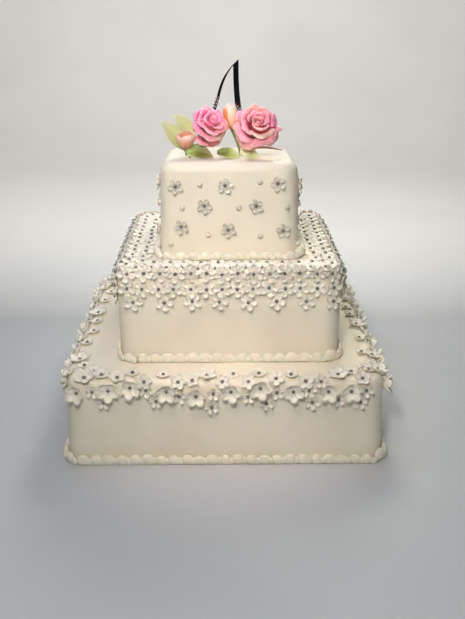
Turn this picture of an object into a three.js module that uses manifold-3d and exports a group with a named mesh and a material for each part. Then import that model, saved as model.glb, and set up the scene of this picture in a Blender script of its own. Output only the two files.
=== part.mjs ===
// A square wedding cake of three tiers, iced in ivory, with sugar blossoms, piped
// pearl borders, a spray of two roses with buds and leaves, and a pointed metal arch.
// Millimetres, +Z up, the front faces -Y. The origin is the middle of the base.

import * as THREE from 'three';
import { mergeVertices } from 'three/addons/utils/BufferGeometryUtils.js';
import Module from 'manifold-3d';

const wasm = await Module();
wasm.setup();

// ---------- driving dimensions ----------

const GAP = 0.3;             // clearance between pieces that touch
const CORNER = 20;           // radius of the upright corners
const CORNER_STEPS = 2;      // facets round each upright corner
const LEAST_CORNER = 2;      // of the corners of a row of blossoms well in from the edge

// Half widths at the foot and at the crown, the soft top edge with its facets, how far
// the tier stands to the right, and how far its top falls towards the back.
const BOTTOM = {
  foot: 177.8, crown: 174.2, height: 100.5, edge: 6, edgeSteps: 1, shift: 0, fall: 0,
};
const MIDDLE = {
  foot: 124.8, crown: 126.2, height: 107.2, edge: 11, edgeSteps: 1, shift: 5.3, fall: 0,
};
const TOP = {
  foot: 80.1, crown: 76.8, height: 109.6, edge: 12, edgeSteps: 2, shift: 5.7, fall: 9.5,
};
BOTTOM.z = 0;
MIDDLE.z = BOTTOM.height + GAP;
TOP.z = MIDDLE.z + MIDDLE.height + GAP;

// Sugar blossoms: petal reach and height above the icing.
const LARGE = { reach: 11.2, rise: 4.8 };
const MEDIUM = { reach: 9, rise: 3.4 };
const SMALL = { reach: 7, rise: 3 };
const OPEN = { reach: 7.4, rise: 2.8 };
const TUCKED = { reach: 5.2, rise: 2.6 };
const PETALS = 5;
const NOTCH = 0.56;          // reach of the notches between petals, of the petal reach
const ROOT = 0.3;            // how far a blossom is pressed into the icing

// Blossoms along the upper edge of each side of the bottom tier, by their place from its
// middle: on the wall by their height, on the top by their distance in from the wall.
const BOTTOM_WALL = [
  [-161, 87, LARGE], [-127, 90, LARGE], [-103, 93, LARGE], [-64, 89, LARGE], [-32, 83, LARGE],
  [6, 88, LARGE], [38, 92, LARGE], [74, 88, LARGE], [112, 88, LARGE], [137, 88, LARGE],
  [-144, 89, TUCKED], [-86, 90, TUCKED], [-50, 83, TUCKED], [-13, 86, TUCKED],
  [25, 82, TUCKED], [56, 87, TUCKED], [91, 89, TUCKED], [123, 78, TUCKED], [153, 89, TUCKED],
  [-132, 76, SMALL], [-75, 77, SMALL], [-15, 70, SMALL], [45, 74, SMALL], [95, 75, SMALL],
  [147, 75, SMALL],
];
const BOTTOM_LEDGE = [
  [-153, 5, MEDIUM], [-146, 21, SMALL], [-135, 10, MEDIUM], [-117, 5, MEDIUM],
  [-102, 15, SMALL], [-88, 1, MEDIUM], [-68, 11, SMALL], [-51, 1, MEDIUM], [-36, 2, SMALL],
  [-20, 8, MEDIUM], [-3, 1, SMALL], [9, 11, SMALL], [25, 1, MEDIUM], [37, 12, SMALL],
  [55, 3, MEDIUM], [72, 9, SMALL], [87, 1, MEDIUM], [104, 1, SMALL], [123, 8, MEDIUM],
  [139, 16, SMALL], [149, 3, MEDIUM], [163, 15, MEDIUM],
];
const DRIFT = 4;             // how far they stray along the sides other than the front
const WALL_SALT = 31;
const LEDGE_SALT = 55;

// Rows of blossoms right round the middle tier: how many, where the first one stands in
// steps from the front's middle, and its height on the wall or its distance in from the
// edge, less at the front by nearer. The edge row lies on the soft edge itself.
const MIDDLE_ROWS = [
  { count: 56, start: 0.5, size: OPEN, cornerSize: TUCKED, notched: true, onEdge: true },
  { count: 56, start: 0.5, size: OPEN, cornerSize: SMALL, notched: false, z: 88 },
  { count: 31, start: 0.65, size: OPEN, notched: true, z: 73 },
  { count: 52, start: 0.07, size: SMALL, notched: false, inset: 18, nearer: 6 },
  { count: 44, start: 0.27, size: SMALL, notched: false, inset: 32, nearer: 5 },
];
const EDGE_SET = 0.7;        // how far the edge row is set up and in from the edge's middle

// Single blossoms on each wall of the top tier: height, and places across the wall.
const TOP_ROWS = [
  { z: 84, across: [-56, -4, 53] },
  { z: 62, across: [-28, 29] },
  { z: 35, across: [-53, -2, 57] },
];
const TOP_SPIN = 0.4;        // how far they are turned at random, in radians

// Piped borders: pearls squeezed side by side along the foot of each tier.
const PEARL_PITCH = 14.5;
const PEARL_NECK = 0.62;     // size of the neck between two pearls, of a full pearl
const PEARL_BROW = 0.25;     // height of a pearl's widest point, of its rise
const BOTTOM_PEARLS = { reach: 6.8, rise: 11.5 };
const MIDDLE_PEARLS = { reach: 6.0, rise: 11 };
const TOP_PEARLS = { reach: 7.8, rise: 9.5 };

// The spray: flower heads by the point where the stem enters, the way they face, their
// radius and their height.
const ROSE_LEFT = { at: [-27, -22, 339], turn: 0.63, lift: 0.68, radius: 21.5, height: 35 };
const ROSE_RIGHT = { at: [33, -24, 337], turn: 0.21, lift: 0.68, radius: 25, height: 39 };
const BUD_LEFT = { at: [-42, -41, 325.5], turn: -0.3, lift: 1.3, radius: 10.5, height: 19 };
const BUD_MIDDLE = { at: [9.5, -10, 344], turn: -1.2, lift: 1.38, radius: 8.5, height: 28 };
const ROSE_SEGMENTS = 15;
const BUD_SEGMENTS = 8;
const LEAF_THICKNESS = 0.8;
const STEM_SIDES = 5;

// The metal arch: two flat legs that meet in a point, slender left and broad right.
const ARCH_DEPTH = 3;
const ARCH_BACK = 4;         // its middle plane stands this far behind the middle
const ARCH_HEIGHT = 107.5;

// Colours: [colour, roughness, metalness]
const ICING = [0xe9dfca, 0.6, 0];
const BORDER_ICING = [0xeee0c0, 0.5, 0];
const PINK = [0xf08aa6, 0.6, 0];
const PEACH = [0xf0b295, 0.6, 0];
const LEAF = [0x9aa84e, 0.6, 0];
const STEM = [0x7c8244, 0.7, 0];
const TWIG = [0xa8705a, 0.7, 0];
const METAL = [0xb8bcc4, 0.1, 1];

// ---------- small helpers ----------

const UP = new THREE.Vector3(0, 0, 1);
const QUARTER = Math.PI / 2;

// Repeatable unevenness from -1 to 1, the same for the same index and salt.
function wobble(index, salt) {
  const wave = Math.sin(index * 12.9898 + salt * 78.233) * 43758.5453;
  return 2 * (wave - Math.floor(wave)) - 1;
}

function vectors(rows) {
  return rows.map(([x, y, z]) => new THREE.Vector3(x, y, z));
}

function geometryOf(points, triangles) {
  const geometry = new THREE.BufferGeometry();
  const flat = points.flatMap((p) => [p.x, p.y, p.z]);
  geometry.setAttribute('position', new THREE.Float32BufferAttribute(flat, 3));
  geometry.setIndex(triangles.flat());
  return geometry;
}

// A closed skin over rings of equal length, from the first ring to the last. Seen from
// the last ring's side the points run anticlockwise. A ring of one point closes an end.
function loft(rings) {
  const points = [];
  const starts = rings.map((ring) => points.push(...ring) - ring.length);
  const count = Math.max(...rings.map((ring) => ring.length));
  const triangles = [];
  for (let r = 0; r + 1 < rings.length; r += 1) {
    const single = [rings[r].length === 1, rings[r + 1].length === 1];
    for (let k = 0; k < count; k += 1) {
      const next = (k + 1) % count;
      const low = single[0] ? starts[r] : starts[r] + k;
      const lowNext = single[0] ? starts[r] : starts[r] + next;
      const high = single[1] ? starts[r + 1] : starts[r + 1] + k;
      const highNext = single[1] ? starts[r + 1] : starts[r + 1] + next;
      if (!single[0]) triangles.push([low, lowNext, highNext]);
      if (!single[1]) triangles.push([low, highNext, high]);
    }
  }
  return geometryOf(points, triangles);
}

function middleOf(ring) {
  const sum = ring.reduce((total, point) => total.add(point), new THREE.Vector3());
  return [sum.divideScalar(ring.length)];
}

// Closes both ends of a stack of rings with a fan about the middle.
function capped(rings) {
  return loft([middleOf(rings[0]), ...rings, middleOf(rings[rings.length - 1])]);
}

function solidOf(geometry) {
  const bare = new THREE.BufferGeometry();
  bare.setAttribute('position', geometry.getAttribute('position'));
  bare.setIndex(geometry.getIndex());
  const merged = mergeVertices(bare, 1e-4);
  return new wasm.Manifold(new wasm.Mesh({
    numProp: 3,
    vertProperties: new Float32Array(merged.getAttribute('position').array),
    triVerts: new Uint32Array(merged.getIndex().array),
  }));
}

function geometryFrom(solid) {
  const mesh = solid.getMesh();
  const geometry = new THREE.BufferGeometry();
  geometry.setAttribute('position', new THREE.BufferAttribute(mesh.vertProperties, 3));
  geometry.setIndex(new THREE.BufferAttribute(mesh.triVerts, 1));
  return geometry;
}

function joined(geometries) {
  const solids = geometries.map(solidOf);
  return geometryFrom(solids.slice(1).reduce((sum, solid) => sum.add(solid), solids[0]));
}

const cake = new THREE.Group();

function addPiece(name, geometry, [color, roughness, metalness]) {
  const material = new THREE.MeshStandardMaterial({
    color, roughness, metalness, flatShading: true,
  });
  const mesh = new THREE.Mesh(geometry, material);
  mesh.name = name;
  cake.add(mesh);
  return mesh;
}

// ---------- the tiers ----------

// A point on the outline of a square with rounded corners, anticlockwise from the middle
// of the front, with the outward direction there. With faceted true, a point on a corner
// moves to the middle of its facet.
function outlinePoint(half, radius, distance, faceted) {
  const flat = 2 * (half - radius);
  const side = flat + radius * QUARTER;
  const travelled = distance + flat / 2;
  const turns = Math.floor(travelled / side);
  const along = travelled - turns * side;
  let bend = Math.max(0, along - flat) / radius;
  let arm = radius;
  if (faceted && bend > 0) {
    const facet = QUARTER / CORNER_STEPS;
    bend = (Math.floor(bend / facet) + 0.5) * facet;
    arm = radius * Math.cos(facet / 2);
  }
  const point = new THREE.Vector3(Math.min(along, flat) - flat / 2, radius - half, 0);
  const outward = new THREE.Vector3(Math.sin(bend), -Math.cos(bend), 0);
  point.addScaledVector(outward, arm);
  point.applyAxisAngle(UP, turns * QUARTER);
  outward.applyAxisAngle(UP, turns * QUARTER);
  return { point, outward, onCorner: bend > 0 };
}

function outlineLength(half, radius) {
  return 8 * (half - radius) + 2 * Math.PI * radius;
}

function squareRing(half, radius, z) {
  const ring = [];
  for (let corner = 0; corner < 4; corner += 1) {
    for (let step = 0; step <= CORNER_STEPS; step += 1) {
      const angle = (corner - 1 + step / CORNER_STEPS) * QUARTER;
      const arm = new THREE.Vector3((half - radius) * Math.SQRT2, 0, z);
      arm.applyAxisAngle(UP, (corner - 0.5) * QUARTER);
      ring.push(arm.add(new THREE.Vector3(radius, 0, 0).applyAxisAngle(UP, angle)));
    }
  }
  return ring;
}

function wallHalf(tier, height) {
  return tier.foot + (tier.crown - tier.foot) * height / tier.height;
}

// How far a wall leans back from the upright.
function wallLean(tier) {
  return Math.atan2(tier.foot - tier.crown, tier.height);
}

// Lowers a point of a tier that sinks towards the back, in proportion to its height, and
// keeps it on the same sloping wall.
function sink(tier, point) {
  const share = tier.fall / tier.height * (point.y + tier.foot) / (2 * tier.foot);
  const lowered = point.z * (1 - share);
  const wider = wallHalf(tier, lowered) / wallHalf(tier, point.z);
  return point.set(point.x * wider, point.y * wider, lowered);
}

function tierBody(tier) {
  const rings = [squareRing(tier.foot, CORNER, 0)];
  for (let step = 0; step <= tier.edgeSteps; step += 1) {
    const angle = step / tier.edgeSteps * QUARTER;
    const inset = tier.edge * (1 - Math.cos(angle));
    const height = tier.height - tier.edge * (1 - Math.sin(angle));
    rings.push(squareRing(wallHalf(tier, height) - inset, CORNER - inset, height));
  }
  rings.forEach((ring) => ring.forEach((point) => sink(tier, point)));
  return capped(rings);
}

// ---------- blossoms ----------

// A star or a plain five-sided blossom that rises to its middle, lying on the plane
// z = 0 with one petal along +X.
function blossom({ reach, rise }, notched) {
  const spread = reach * (1 + ROOT / rise);
  const count = notched ? 2 * PETALS : PETALS;
  const ring = [];
  for (let k = 0; k < count; k += 1) {
    const radius = notched && k % 2 ? spread * NOTCH : spread;
    const angle = k / count * 2 * Math.PI;
    ring.push(new THREE.Vector3(radius * Math.cos(angle), radius * Math.sin(angle), -ROOT));
  }
  return loft([middleOf(ring), ring, [new THREE.Vector3(0, 0, rise)]]);
}

// Sets a blossom on a tier. lean is how far its face turns up from the wall's: 0 on the
// wall itself. A petal points away from the tier's edge.
function placedBlossom(tier, site) {
  const { half, radius, along } = site;
  const { point, outward, onCorner } = outlinePoint(half, radius, along, true);
  const across = new THREE.Vector3(-outward.y, outward.x, 0);
  const lift = site.onTop ? QUARTER : wallLean(tier) + (site.lean || 0);
  const facing = outward.clone().multiplyScalar(Math.cos(lift));
  facing.addScaledVector(UP, Math.sin(lift));
  const upward = facing.clone().cross(across);
  const pose = new THREE.Matrix4().makeBasis(across, upward, facing);
  const spin = site.onTop ? QUARTER : -QUARTER;
  pose.multiply(new THREE.Matrix4().makeRotationZ(spin + (site.spin || 0)));
  pose.setPosition(sink(tier, point.setZ(site.z)));
  const size = onCorner && site.cornerSize ? site.cornerSize : site.size;
  return blossom(size, site.notched).applyMatrix4(pose);
}

// Puts a site on the middle of a tier's soft edge.
function setOnEdge(tier, site) {
  site.z = tier.height - tier.edge / 2 + EDGE_SET;
  site.inset = tier.edge / 2 + EDGE_SET;
  site.lean = (QUARTER - wallLean(tier)) / 2;
  site.onTop = false;
}

// The sites of a row of blossoms right round a tier.
function rowSites(tier, row) {
  const sites = [];
  for (let k = 0; k < row.count; k += 1) {
    const site = { ...row, inset: row.inset || 0, onTop: row.inset > 0 };
    const share = (k + row.start) / row.count;
    if (row.onEdge) {
      setOnEdge(tier, site);
    } else if (site.onTop) {
      site.z = tier.height;
      site.inset -= row.nearer * Math.max(0, Math.cos(2 * Math.PI * share)) ** 2;
    }
    site.half = wallHalf(tier, site.z) - site.inset;
    site.radius = Math.max(LEAST_CORNER, CORNER - site.inset);
    site.along = share * outlineLength(site.half, site.radius);
    sites.push(site);
  }
  return sites;
}

// The sites of the blossoms along the upper edges of the bottom tier. On the sides other
// than the front they stray a little.
function bottomSites(tier) {
  const onWall = BOTTOM_WALL.map(([x, z, size]) => ({
    x, z, size, inset: 0, notched: size === LARGE, salt: WALL_SALT,
  }));
  const onLedge = BOTTOM_LEDGE.map(([x, inset, size]) => {
    const site = { x, z: tier.height, size, inset, notched: false, salt: LEDGE_SALT };
    site.onTop = true;
    if (inset < tier.edge) {
      setOnEdge(tier, site);
    }
    return site;
  });
  return [0, 1, 2, 3].flatMap((wall) => [onWall, onLedge].flatMap((row) => (
    row.map((site, k) => {
      const half = wallHalf(tier, site.z) - site.inset;
      const radius = Math.max(LEAST_CORNER, CORNER - site.inset);
      const middle = wall / 4 * outlineLength(half, radius);
      const drift = wall === 0 ? 0 : DRIFT * wobble(k, site.salt + wall);
      return { ...site, half, radius, along: middle + site.x + drift };
    })
  )));
}

// The sites of the single blossoms on the top tier, the same on each wall.
function scatteredSites(tier, rows) {
  return rows.flatMap(({ z, across }) => {
    const half = wallHalf(tier, z);
    const side = outlineLength(half, CORNER) / 4;
    return [0, 1, 2, 3].flatMap((wall) => across.map((x) => ({
      size: SMALL, notched: true, z, spin: TOP_SPIN * wobble(x, wall), half,
      radius: CORNER, along: wall * side + x,
    })));
  });
}

function addTier(name, tier, sites) {
  const shapes = sites.map((site) => placedBlossom(tier, site));
  const mesh = addPiece(name, joined([tierBody(tier), ...shapes]), ICING);
  mesh.position.set(tier.shift, 0, tier.z);
}

addTier('bottom_tier', BOTTOM, bottomSites(BOTTOM));
addTier('middle_tier', MIDDLE, MIDDLE_ROWS.flatMap((row) => rowSites(MIDDLE, row)));
addTier('top_tier', TOP, scatteredSites(TOP, TOP_ROWS));

// ---------- piped borders ----------

// One closed string of pearls along the foot of a tier: a full section at each pearl's
// middle and a small one at each neck.
function pearlBorder(tier, pearls) {
  const inner = tier.foot + GAP;
  const length = outlineLength(inner, CORNER);
  const count = 8 * Math.round(length / PEARL_PITCH / 4);
  const points = [];
  for (let k = 0; k < count; k += 1) {
    const { point, outward } = outlinePoint(inner, CORNER, k / count * length);
    const bulge = k % 2 ? PEARL_NECK : 1;
    const brow = point.clone().addScaledVector(outward, pearls.reach * bulge);
    brow.z = PEARL_BROW * pearls.rise * bulge;
    points.push(point, brow, point.clone().setZ(pearls.rise * bulge));
  }
  const triangles = [];
  const corners = points.length / count;
  for (let k = 0; k < points.length; k += 1) {
    const section = k - k % corners;
    const beside = section + (k + 1) % corners;
    const ahead = (k + corners) % points.length;
    const aheadBeside = (beside + corners) % points.length;
    triangles.push([k, ahead, aheadBeside], [k, aheadBeside, beside]);
  }
  return geometryOf(points, triangles);
}

function addBorder(name, tier, pearls) {
  const mesh = addPiece(name, pearlBorder(tier, pearls), BORDER_ICING);
  mesh.position.set(tier.shift, 0, tier.z);
}

addBorder('bottom_border', BOTTOM, BOTTOM_PEARLS);
addBorder('middle_border', MIDDLE, MIDDLE_PEARLS);
addBorder('top_border', TOP, TOP_PEARLS);

// ---------- roses and buds ----------

// Petal edges and the folds between them, from the stem out over the outer petals and
// in to the heart: share of the radius, share of the height, how deep the petals wave.
const ROSE_WHORLS = [
  [0.34, 0.03, 0], [0.8, 0.33, 0.04], [1, 0.68, 0.1], [0.72, 0.58, 0], [0.66, 0.86, 0.08],
  [0.48, 0.7, 0], [0.38, 0.96, 0.06], [0.22, 0.84, 0], [0.13, 1, 0.02],
];
const ROSE_HEART = 0.9;
const BUD_WHORLS = [[0.32, 0.02, 0], [0.9, 0.3, 0], [1, 0.58, 0.06], [0.7, 0.9, 0.1], [0.4, 1, 0]];
const BUD_HEART = 0.84;

// A flower head standing on the origin, its heart up.
function flowerHead({ radius, height }, whorls, heart, segments) {
  const rings = whorls.map(([reach, rise, wave], w) => {
    const ring = [];
    for (let k = 0; k < segments; k += 1) {
      const angle = k / segments * 2 * Math.PI;
      const petal = wave * Math.cos(PETALS * angle + 2 * w);
      const arm = radius * (reach + petal);
      ring.push(new THREE.Vector3(
        arm * Math.cos(angle), arm * Math.sin(angle), height * (rise - petal / 2),
      ));
    }
    return ring;
  });
  const foot = new THREE.Vector3();
  return loft([[foot], ...rings, [new THREE.Vector3(0, 0, heart * height)]]);
}

// The way a flower faces: turned from the front about the upright, then lifted.
function facingOf({ turn, lift }) {
  return new THREE.Vector3(
    Math.sin(turn) * Math.cos(lift), -Math.cos(turn) * Math.cos(lift), Math.sin(lift),
  );
}

function addFlower(name, flower, whorls, heart, segments, finish) {
  const mesh = addPiece(name, flowerHead(flower, whorls, heart, segments), finish);
  mesh.quaternion.setFromUnitVectors(UP, facingOf(flower));
  mesh.position.set(...flower.at);
}

addFlower('rose_left', ROSE_LEFT, ROSE_WHORLS, ROSE_HEART, ROSE_SEGMENTS, PINK);
addFlower('rose_right', ROSE_RIGHT, ROSE_WHORLS, ROSE_HEART, ROSE_SEGMENTS, PINK);
addFlower('bud_left', BUD_LEFT, BUD_WHORLS, BUD_HEART, BUD_SEGMENTS, PEACH);
addFlower('bud_middle', BUD_MIDDLE, BUD_WHORLS, BUD_HEART, BUD_SEGMENTS, PEACH);

// ---------- stems and leaves ----------

// Height of the cake's top surface at a distance behind the middle.
function cakeTop(y) {
  return TOP.z + sink(TOP, new THREE.Vector3(0, y, TOP.height)).z;
}

// A round rod along a curve through the points, its radius given at even steps.
function rod(points, radii) {
  const curve = new THREE.CatmullRomCurve3(vectors(points));
  const frames = curve.computeFrenetFrames(radii.length - 1, false);
  const rings = radii.map((radius, step) => {
    const centre = curve.getPointAt(step / (radii.length - 1));
    const ring = [];
    for (let k = 0; k < STEM_SIDES; k += 1) {
      const angle = k / STEM_SIDES * 2 * Math.PI;
      ring.push(centre.clone()
        .addScaledVector(frames.normals[step], radius * Math.cos(angle))
        .addScaledVector(frames.binormals[step], radius * Math.sin(angle)));
    }
    return ring;
  });
  return capped(rings);
}

// A stem from the cake up to a flower, opening into the cup of green under the petals.
function addStem(name, flower, foot, bend, cup) {
  const back = facingOf(flower).multiplyScalar(-GAP);
  const top = new THREE.Vector3(...flower.at).add(back);
  const neck = top.clone().addScaledVector(back, cup / GAP);
  const ground = [foot[0], foot[1], cakeTop(foot[1]) + 4 * GAP];
  const points = [ground, bend, neck.toArray(), top.toArray()];
  addPiece(name, rod(points, [1.6, 1.4, 1.4, 1.5, 1.8, cup, 1.2 * cup]), STEM);
}

addStem('stem_rose_left', ROSE_LEFT, [-28, -9], [-30, -12, 324], 3);
addStem('stem_rose_right', ROSE_RIGHT, [27, -5], [27.5, -7, 320], 3);
addStem('stem_bud_left', BUD_LEFT, [-39, -35], [-40, -36.5, 319.5], 2.2);
addStem('stem_bud_middle', BUD_MIDDLE, [19, -13], [16.5, -12, 325], 2.2);
addPiece('twig', rod([
  [23, 0, cakeTop(0) + 2.4], [36, 1.5, 319], [52, 4, 319], [70, 8, 315.5],
], [1.9, 1.8, 1.5, 1.2, 0.8, 0.4]), TWIG);

// A thin wavy leaf along a curve through its spine's points, facing the given way. The
// widths are half widths at even steps, and the halves fold up from the spine.
function leaf(spine, widths, face, fold, wave) {
  const curve = new THREE.CatmullRomCurve3(vectors(spine));
  const towards = new THREE.Vector3(...face).normalize();
  const last = widths.length - 1;
  const rings = widths.map((width, step) => {
    const centre = curve.getPointAt(step / last);
    const along = curve.getTangentAt(step / last);
    const side = towards.clone().cross(along).normalize();
    const normal = along.clone().cross(side);
    const ripple = wave * Math.sin(2.2 * step);
    const place = (across, lift) => centre.clone()
      .addScaledVector(side, across * width).addScaledVector(normal, lift);
    const high = LEAF_THICKNESS / 2;
    const left = fold * width + ripple;
    const right = fold * width - ripple;
    return [
      place(-1, left - high), place(0, -high), place(1, right - high),
      place(1, right + high), place(0, high), place(-1, left + high),
    ];
  });
  return capped(rings);
}

// Half widths of a pointed blade on a short stalk, as shares of the widest.
const BLADE = [0.12, 0.12, 0.6, 0.95, 1, 0.75, 0.1];
const SESSILE = [0.35, 0.8, 1, 0.98, 0.7, 0.1];

function addLeaf(name, spine, shape, half, face, fold, wave) {
  addPiece(name, leaf(spine, shape.map((share) => share * half), face, fold, wave), LEAF);
}

addLeaf('leaf_back_low', [
  [-44, -24, cakeTop(-24) + 2], [-47, -26, 327], [-58, -29, 341], [-71, -34, 357.5],
], BLADE, 9, [0.3, -1, 0.4], 0.25, 0.6);
addLeaf('leaf_back_high', [
  [-43, -14, cakeTop(-14) + 2], [-41, -14, 334], [-46, -16, 348], [-57, -20, 362],
], BLADE, 9.5, [0.2, -1, 0.3], 0.25, 0.7);
addLeaf('leaf_front_left', [
  [-38, -41, 322.3], [-32, -42.5, 322.8], [-24, -44, 321.8], [-13, -46, 318.3],
], SESSILE, 7.5, [0.1, -0.75, 0.65], 0.15, 0.4);
addLeaf('leaf_front_middle', [
  [-8, -42, 322.5], [0, -43, 322.5], [9, -45, 320.6], [17.5, -47, 318],
], SESSILE, 6.5, [0.1, -0.75, 0.65], 0.15, 0.4);
addLeaf('leaf_front_right', [
  [18, -42, 322.5], [25, -44, 322.3], [32, -46, 320.3], [40, -49, 318.2],
], SESSILE, 6.5, [0.1, -0.75, 0.65], 0.15, 0.4);

// ---------- the metal arch ----------

// Two flat legs on z = 0 that meet in a point, drawn in the plane of their faces.
function archOutline() {
  const outline = new THREE.Shape();
  outline.moveTo(-30, 0);
  outline.bezierCurveTo(-26, 20, -14, 46, -8.4, 65.5);
  outline.bezierCurveTo(-4.5, 82, 1, 94, 17, ARCH_HEIGHT);
  outline.bezierCurveTo(16.6, 84, 18.2, 66, 20.2, 54);
  outline.bezierCurveTo(23, 36, 28, 16, 32, 0);
  outline.lineTo(24, 0);
  outline.bezierCurveTo(18, 22, 10.6, 52, 10.7, 100.2);
  outline.bezierCurveTo(3.5, 92.5, -2.6, 78, -5.2, 64);
  outline.bezierCurveTo(-9, 50, -22, 20, -25.5, 0);
  outline.closePath();
  return outline;
}

const archGeometry = new THREE.ExtrudeGeometry(archOutline(), {
  depth: ARCH_DEPTH, bevelEnabled: false, curveSegments: 6,
});
const arch = addPiece('metal_arch', archGeometry, METAL);
arch.rotation.x = QUARTER;
arch.position.set(0, ARCH_BACK + ARCH_DEPTH / 2, cakeTop(ARCH_BACK - ARCH_DEPTH / 2) + GAP);

export default cake;
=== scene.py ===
"""A square wedding cake of three tiers: ivory icing, sugar blossoms with silver beads, piped
pearl borders, a spray of roses, buds and leaves, and a pointed metal arch.

Sizes are in millimetres until a mesh is made. The front faces -Y.
"""

from dataclasses import dataclass
from math import acos, atan2, cos, floor, pi, radians, sin, sqrt

import bpy
import numpy as np
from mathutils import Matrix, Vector, noise


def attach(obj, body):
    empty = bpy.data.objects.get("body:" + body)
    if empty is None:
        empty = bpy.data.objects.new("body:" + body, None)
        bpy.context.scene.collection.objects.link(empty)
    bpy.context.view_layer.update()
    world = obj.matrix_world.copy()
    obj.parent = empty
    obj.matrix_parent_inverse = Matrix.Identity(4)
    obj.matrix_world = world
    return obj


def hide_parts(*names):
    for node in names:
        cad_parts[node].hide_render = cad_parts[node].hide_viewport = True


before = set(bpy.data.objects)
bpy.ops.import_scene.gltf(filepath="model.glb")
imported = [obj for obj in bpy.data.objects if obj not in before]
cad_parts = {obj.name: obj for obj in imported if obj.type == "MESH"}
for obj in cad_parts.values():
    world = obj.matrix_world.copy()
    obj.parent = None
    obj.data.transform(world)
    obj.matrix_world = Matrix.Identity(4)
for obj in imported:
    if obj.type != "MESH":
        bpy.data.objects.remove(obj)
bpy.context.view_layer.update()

MM = 0.001

# ---------- driving dimensions ----------

CORNER = 20  # radius of the upright corners
LEAST_CORNER = 2.0  # radius of the corners of square rings well in from the edge
GAP = 0.3  # clearance between pieces that touch


@dataclass
class Tier:
    """A square tier with rounded corners: half widths at its foot and at its crown, the radius
    of its soft top edge, how far it stands to the right and how far its top falls backwards."""

    name: str
    z: float
    foot: float
    crown: float
    height: float
    edge: float
    shift: float = 0.0
    fall: float = 0.0

    def half(self, z):
        return self.foot + (self.crown - self.foot) * z / self.height

    def lean(self):
        return atan2(self.foot - self.crown, self.height)


BOTTOM = Tier("bottom", 0.0, 177.8, 174.2, 100.5, 8.0)
MIDDLE = Tier("middle", 100.8, 124.8, 126.2, 107.2, 9.0, shift=5.3)
TOP = Tier("top", 208.3, 80.1, 76.8, 109.6, 12.0, shift=5.7, fall=9.5)

# ---------- camera, floor and light ----------

CAMERA_AT = (-0.00084, -0.93447, 0.48368)
CAMERA_PITCH = 21.56  # degrees down
CAMERA_YAW = 0.66  # degrees to the right
CAMERA_LENS = 45.58  # for the sensor along the picture's longer side
CAMERA_SENSOR = 36
FLOOR_SIZE = 12.0
BACKDROP_AT = 1.4  # where the floor starts to bend up, behind the middle
BACKDROP_BEND = 1.2  # radius of the bend
BACKDROP_HEIGHT = 4.0
WORLD_LIGHT = 0.13  # strength of the white light from all round

# Lamps: name, place, aim, size, watts, colour and spread in degrees. Two stand above and
# behind the cake. Four in front light its foot, its upper half, the whole and the flowers.
# The last lights only the backdrop.
LAMPS = [
    ("above", (-0.14, 0.0, 0.78), (0.0, 0.0, 0.2), 0.3, 0.95, (0.6, 0.7, 1.0), 180),
    ("rear", (0.12, 0.45, 0.85), (0.0, 0.0, 0.25), 0.3, 3.5, (1.0, 1.0, 0.88), 180),
    ("low", (-0.12, -0.45, 0.78), (0.0, -0.17, 0.1), 0.14, 0.075, (1.0, 0.8, 0.67), 32),
    ("beam", (-0.25, -0.8, 0.85), (0.0, 0.0, 0.25), 0.25, 0.16, (1.0, 0.88, 0.8), 32),
    ("fill", (-0.08, -0.8, 0.68), (0.0, 0.0, 0.15), 0.1, 2.68, (0.97, 1.0, 0.95), 180),
    ("flowers", (0.1, -0.85, 0.46), (-0.005, 0.0, 0.372), 0.06, 0.0066, (1.0, 0.84, 0.86), 8),
    ("backdrop", (0.0, 0.0, 1.4), (0.0, 4.0, 2.1), 1.0, 80, (1.0, 0.94, 0.84), 180),
]


def link(name, data):
    """An object of the scene that holds the data."""
    made = bpy.data.objects.new(name, data)
    bpy.context.scene.collection.objects.link(made)
    return made


def add_camera():
    data = bpy.data.cameras.new("camera")
    data.lens = CAMERA_LENS
    data.sensor_width = CAMERA_SENSOR
    camera = link("camera", data)
    camera.location = CAMERA_AT
    camera.rotation_euler = (radians(90 - CAMERA_PITCH), 0, radians(-CAMERA_YAW))
    bpy.context.scene.camera = camera


def add_lamp(name, at, towards, size, power, colour, spread):
    data = bpy.data.lights.new(name, "AREA")
    data.shape = "DISK"
    data.size = size
    data.energy = power
    data.color = colour
    data.spread = radians(spread)
    lamp = link(name, data)
    lamp.location = at
    lamp.rotation_euler = (Vector(towards) - Vector(at)).to_track_quat("-Z", "Y").to_euler()


def add_lights():
    world = bpy.data.worlds.new("studio")
    world.use_nodes = True
    background = world.node_tree.nodes["Background"]
    background.inputs["Color"].default_value = (1.0, 1.0, 1.0, 1)
    background.inputs["Strength"].default_value = WORLD_LIGHT
    bpy.context.scene.world = world
    for lamp in LAMPS:
        add_lamp(*lamp)


def add_floor():
    """A pale floor that bends up into a backdrop behind the cake."""
    line = [(-FLOOR_SIZE / 2, 0.0)]
    for angle in np.linspace(0, pi / 2, 13):
        rise = BACKDROP_BEND * (1 - cos(angle))
        line.append((BACKDROP_AT + BACKDROP_BEND * sin(angle), rise))
    line.append((BACKDROP_AT + BACKDROP_BEND, BACKDROP_HEIGHT))
    points = [(x, y, z) for y, z in line for x in (-FLOOR_SIZE / 2, FLOOR_SIZE / 2)]
    faces = [(2 * k, 2 * k + 1, 2 * k + 3, 2 * k + 2) for k in range(len(line) - 1)]
    mesh = bpy.data.meshes.new("floor")
    mesh.from_pydata(points, [], faces)
    mesh.polygons.foreach_set("use_smooth", [True] * len(mesh.polygons))
    mesh.materials.append(LOOKS["floor"])
    link("floor", mesh)


# ---------- materials ----------


def srgb(code):
    """A linear colour from a six-digit sRGB code."""
    parts = [int(code[k:k + 2], 16) / 255 for k in (0, 2, 4)]
    return tuple(p / 12.92 if p <= 0.04045 else ((p + 0.055) / 1.055) ** 2.4 for p in parts) + (1,)


LOOKS = {}  # materials by the name of their slot


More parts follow.
